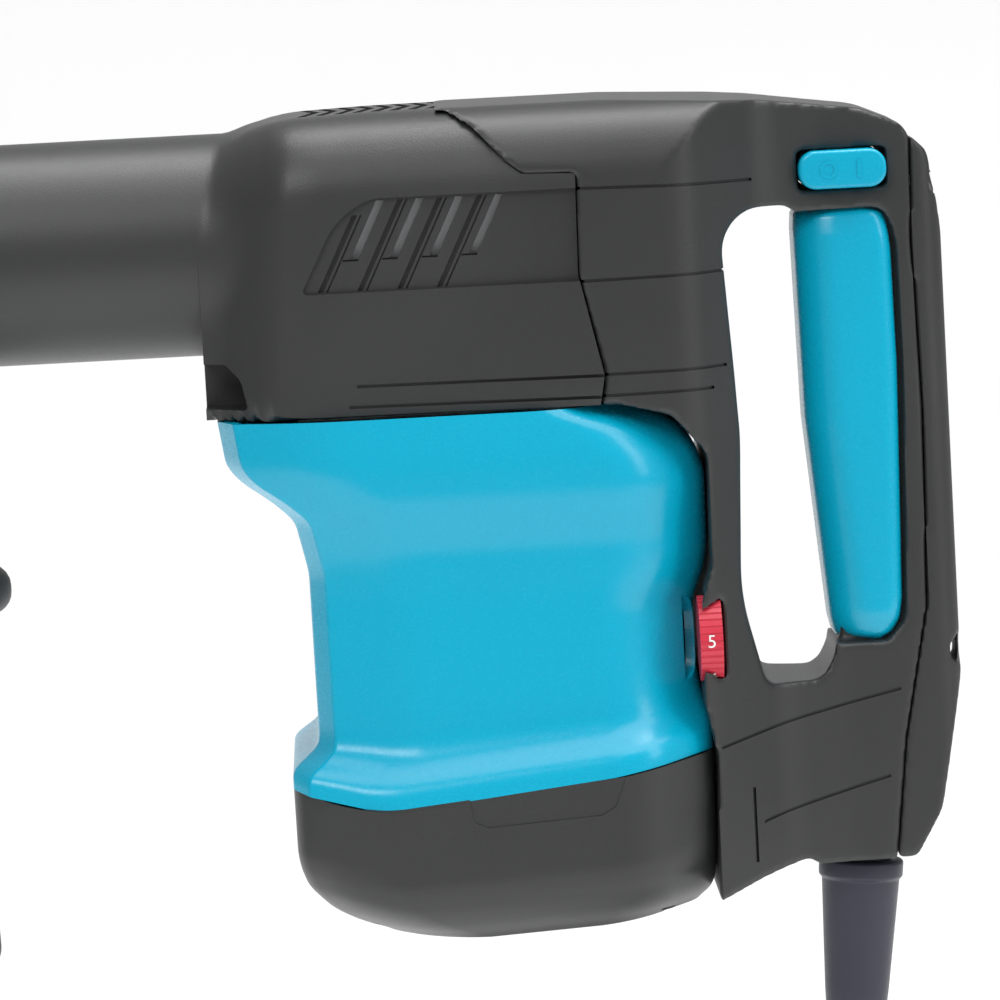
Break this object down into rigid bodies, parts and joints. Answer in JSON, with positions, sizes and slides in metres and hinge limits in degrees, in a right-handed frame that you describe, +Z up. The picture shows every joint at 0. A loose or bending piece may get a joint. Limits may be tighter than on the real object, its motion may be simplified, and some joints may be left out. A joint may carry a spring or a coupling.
{
  "type": "demolition hammer",
  "caption": "Corded electric demolition hammer with a keyed shank chuck, bar side grip, upright teal motor housing, black D handle with switch lever, speed dial and coiled cord.",
  "frame": {"origin": "centre of the mouth of the tool bore, on the strike axis", "axes": "+X along the strike axis from the bore mouth to the back of the handle, +Z up towards the top of the housing, +Y to the side with the flush end of the switch lever"},
  "size_m": [0.4935, 0.116, 0.5477],
  "materials": {
    "rubber": "matte moulded",
    "hard_steel": "ground and oiled",
    "sleeve_plastic": "fine texture",
    "spring_steel": "plain wire",
    "cast_aluminium": "cast and machined",
    "bearing_steel": "polished",
    "lamination": "varnished laminations and windings",
    "copper": "turned copper bars",
    "brass": "pressed",
    "carbon": "matte pressed carbon",
    "fan_plastic": "moulded",
    "black_plastic": "fine grained satin",
    "teal_plastic": "smooth glossy",
    "dial_plastic": "satin",
    "screw_steel": "zinc plated",
    "band_steel": "plain strip",
    "grip_rubber": "moulded",
    "guard_rubber": "smooth moulded",
    "cord_rubber": "matte sheath",
    "tie_fabric": "woven hook and loop strip",
    "pin_plating": "nickel plated"
  },
  "bodies": {
    "root": {"barrel": "cast_aluminium", "bolt_damper": "rubber", "bolt_sleeve": "hard_steel", "cylinder": "hard_steel", "gear_housing": "cast_aluminium", "gear_cover": "cast_aluminium", "crank_lid": "cast_aluminium", "case_screws": "screw_steel", "crank_bearing_upper": "bearing_steel", "crank_bearing_lower": "bearing_steel", "motor_bearing_upper": "bearing_steel", "motor_bearing_lower": "bearing_steel", "bearing_bracket": "cast_aluminium", "stator": "lamination", "brush_holders": "brass", "carbon_brushes": "carbon", "front_housing": "black_plastic", "motor_housing": "teal_plastic", "bottom_cover": "black_plastic", "bottom_screws": "screw_steel", "handle": "black_plastic", "handle_cover": "black_plastic", "handle_screws": "screw_steel", "grip_insert": "teal_plastic", "switch_body": "black_plastic", "controller": "black_plastic", "cord_clamp": "black_plastic", "cord_guard": "guard_rubber", "power_cord": "cord_rubber", "cord_coil": "cord_rubber", "cord_tie": "tie_fabric", "plug_body": "cord_rubber", "plug_pins": "pin_plating"},
    "chuck": {"tool_holder": "hard_steel", "locking_rollers": "hard_steel", "nose_cap": "rubber", "release_spring": "spring_steel"},
    "release": {"release_sleeve": "sleeve_plastic", "roller_ring": "hard_steel"},
    "angle_ring": {"change_ring": "sleeve_plastic"},
    "bolt": {"impact_bolt": "hard_steel"},
    "striker": {"striker": "hard_steel", "striker_o_ring": "rubber"},
    "piston": {"piston": "cast_aluminium", "piston_o_ring": "rubber", "piston_pin": "hard_steel"},
    "rod": {"connecting_rod": "hard_steel", "crank_pin": "hard_steel"},
    "crank": {"crankshaft": "hard_steel", "crank_gear": "hard_steel"},
    "armature": {"armature_shaft": "hard_steel", "armature_core": "lamination", "commutator": "copper", "cooling_fan": "fan_plastic"},
    "lever": {"on_off_lever": "teal_plastic"},
    "dial": {"speed_dial": "dial_plastic"},
    "side_grip": {"side_grip_band": "band_steel", "side_grip_base": "black_plastic", "side_grip_bolt": "screw_steel"},
    "side_handle": {"side_grip_handle": "grip_rubber"}
  },
  "joints": [
    {"name": "bit_angle", "type": "hinge", "parent": "root", "child": "chuck", "pos_m": [0, 0, 0], "axis": [1, 0, 0], "range_deg": [-180, 180]},
    {"name": "release_slide", "type": "slide", "parent": "chuck", "child": "release", "axis": [1, 0, 0], "range_m": [0, 0.0085], "stiffness_N_per_m": 1500, "springref_m": -0.004, "deforming": ["release_spring"]},
    {"name": "angle_ring_slide", "type": "slide", "parent": "chuck", "child": "angle_ring", "axis": [-1, 0, 0], "range_m": [0, 0.004]},
    {"name": "bolt_slide", "type": "slide", "parent": "root", "child": "bolt", "axis": [1, 0, 0], "range_m": [-0.01, 0]},
    {"name": "piston_slide", "type": "slide", "parent": "root", "child": "piston", "axis": [1, 0, 0], "range_m": [-0.032, 0]},
    {"name": "striker_slide", "type": "slide", "parent": "root", "child": "striker", "axis": [1, 0, 0], "range_m": [-0.032, 0]},
    {"name": "rod_swing", "type": "hinge", "parent": "piston", "child": "rod", "pos_m": [0.2448, 0, 0], "axis": [0, 0, 1], "range_deg": [-14.9, 14.9]},
    {"name": "motor_spin", "type": "hinge", "parent": "root", "child": "armature", "pos_m": [0.318, 0, 0], "axis": [0, 0, 1], "continuous": true},
    {"name": "crank_spin", "type": "hinge", "parent": "root", "child": "crank", "pos_m": [0.2908, 0, 0], "axis": [0, 0, 1], "continuous": true},
    {"name": "lever_push", "type": "slide", "parent": "root", "child": "lever", "axis": [0, 1, 0], "range_m": [0, 0.005]},
    {"name": "dial_turn", "type": "hinge", "parent": "root", "child": "dial", "pos_m": [0.3745, -0.036, -0.1162], "axis": [1, 0, 0], "range_deg": [-240, 0]},
    {"name": "side_grip_swing", "type": "hinge", "parent": "root", "child": "side_grip", "pos_m": [0.15, 0, 0], "axis": [1, 0, 0], "range_deg": [-180, 180]},
    {"name": "side_handle_screw", "type": "hinge", "parent": "side_grip", "child": "side_handle", "pos_m": [0.15, 0, -0.1], "axis": [0, 0, 1], "range_deg": [0, 360]}
  ],
  "couplings": [
    {"joint": "crank_spin", "follows": "motor_spin", "ratio": -0.13333},
    {"joint": "striker_slide", "follows": "piston_slide", "ratio": 1}
  ]
}
